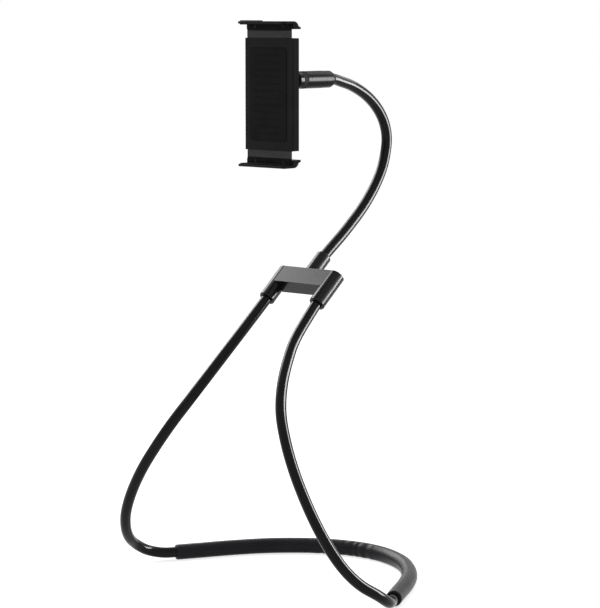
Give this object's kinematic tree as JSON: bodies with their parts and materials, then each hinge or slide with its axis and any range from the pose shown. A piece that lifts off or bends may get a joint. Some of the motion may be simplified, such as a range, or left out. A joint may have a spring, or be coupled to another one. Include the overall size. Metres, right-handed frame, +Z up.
{
  "type": "neck phone holder",
  "caption": "Hands-free holder: a bendable neck loop with a foam neck rest, a moulded hub, a bendable arm, and a sprung clamp on a lockable ball joint.",
  "frame": {"origin": "centre of the whole object's footprint, on the plane that the neck rest lies on", "axes": "+X across the clamp, to the right as the clamp's front is seen; +Y from the chest to the nape, away from the side that the device's screen faces; +Z up"},
  "size_m": [0.3704, 0.2827, 0.6092],
  "materials": {
    "foam": "satin",
    "tube": "gloss",
    "core_wire": "satin",
    "hub_plastic": "satin",
    "screw_steel": "satin",
    "crimp_metal": "satin",
    "head_metal": "satin",
    "liner_plastic": "matte",
    "clamp_plastic": "satin",
    "jaw_plastic": "satin",
    "soft_pad": "matte",
    "plate_steel": "satin",
    "gear_plastic": "matte",
    "spring_steel": "satin"
  },
  "bodies": {
    "neck_loop": {"neck_rest": "foam", "neck_tube": "tube", "neck_core": "core_wire", "left_bend_tube": "tube", "right_bend_tube": "tube"},
    "legs": {"left_leg_tube": "tube", "right_leg_tube": "tube", "hub_front_shell": "hub_plastic", "hub_rear_shell": "hub_plastic", "hub_screws": "screw_steel", "left_leg_crimp": "crimp_metal", "right_leg_crimp": "crimp_metal", "arm_crimp": "crimp_metal", "arm_root_tube": "tube", "arm_low_bend_tube": "tube", "arm_core": "core_wire"},
    "arm_lower": {"arm_low_tube": "tube", "arm_side_bend_tube": "tube"},
    "arm_middle": {"arm_mid_tube": "tube", "arm_top_bend_tube": "tube"},
    "arm_head": {"arm_top_tube": "tube", "arm_ferrule": "head_metal", "socket_barrel": "head_metal"},
    "lock_nut": {"locking_nut": "head_metal"},
    "rear_liner": {"rear_ball_liner": "liner_plastic"},
    "front_liner": {"front_ball_liner": "liner_plastic"},
    "clamp": {"ball_stud": "screw_steel", "stud_nut": "screw_steel", "stud_boss": "clamp_plastic", "clamp_housing": "clamp_plastic", "clamp_cover": "clamp_plastic", "back_pad": "soft_pad", "clamp_screws": "screw_steel", "pinion_pin": "screw_steel", "upper_spring": "spring_steel", "lower_spring": "spring_steel"},
    "pinion": {"pinion": "gear_plastic"},
    "upper_jaw": {"upper_jaw": "jaw_plastic", "upper_jaw_pad": "soft_pad", "upper_slide_plate": "plate_steel", "upper_rack": "gear_plastic", "upper_jaw_screws": "screw_steel"},
    "lower_jaw": {"lower_jaw": "jaw_plastic", "lower_jaw_pad": "soft_pad", "lower_slide_plate": "plate_steel", "lower_rack": "gear_plastic", "lower_jaw_screws": "screw_steel"}
  },
  "joints": [
    {"name": "neck_bend", "type": "hinge", "parent": "neck_loop", "child": "legs", "pos_m": [0, -0.08077, 0.01823], "axis": [1, 0, 0], "range_deg": [-12, 20], "deforming": ["left_bend_tube", "right_bend_tube", "neck_core"]},
    {"name": "arm_base_bend", "type": "hinge", "parent": "legs", "child": "arm_lower", "pos_m": [0, 0.05771, 0.37182], "axis": [1, 0, 0], "range_deg": [-20, 20], "deforming": ["arm_low_bend_tube", "arm_core"]},
    {"name": "arm_side_swing", "type": "hinge", "parent": "arm_lower", "child": "arm_middle", "pos_m": [0, 0.11141, 0.41956], "axis": [0, 0.7738, -0.6334], "range_deg": [-30, 30], "deforming": ["arm_side_bend_tube", "arm_core"]},
    {"name": "arm_top_bend", "type": "hinge", "parent": "arm_middle", "child": "arm_head", "pos_m": [0, 0.13361, 0.48757], "axis": [1, 0, 0], "range_deg": [-25, 25], "deforming": ["arm_top_bend_tube", "arm_core"]},
    {"name": "lock_nut_turn", "type": "hinge", "parent": "arm_head", "child": "lock_nut", "pos_m": [0, -0.0125, 0.5453], "axis": [0, 1, 0], "range_deg": [0, 180]},
    {"name": "ball_pan", "type": "hinge", "parent": "arm_head", "child": "rear_liner", "pos_m": [0, -0.0125, 0.5453], "axis": [0, 0, 1], "range_deg": [-18, 18]},
    {"name": "ball_tilt", "type": "hinge", "parent": "rear_liner", "child": "front_liner", "pos_m": [0, -0.0125, 0.5453], "axis": [1, 0, 0], "range_deg": [-18, 18]},
    {"name": "ball_spin", "type": "hinge", "parent": "front_liner", "child": "clamp", "pos_m": [0, -0.0125, 0.5453], "axis": [0, 1, 0], "continuous": true},
    {"name": "upper_jaw_slide", "type": "slide", "parent": "clamp", "child": "upper_jaw", "axis": [0, 0, 1], "range_m": [-0.007, 0.027], "stiffness_N_per_m": 120, "deforming": ["upper_spring"]},
    {"name": "lower_jaw_slide", "type": "slide", "parent": "clamp", "child": "lower_jaw", "axis": [0, 0, -1], "range_m": [-0.007, 0.027], "stiffness_N_per_m": 120, "deforming": ["lower_spring"]},
    {"name": "pinion_turn", "type": "hinge", "parent": "clamp", "child": "pinion", "pos_m": [0, -0.061, 0.5313], "axis": [0, 1, 0], "range_deg": [-175, 47]}
  ],
  "couplings": [
    {"joint": "lower_jaw_slide", "follows": "upper_jaw_slide", "ratio": 1},
    {"joint": "pinion_turn", "follows": "upper_jaw_slide", "rad_per_m": -111.11}
  ]
}
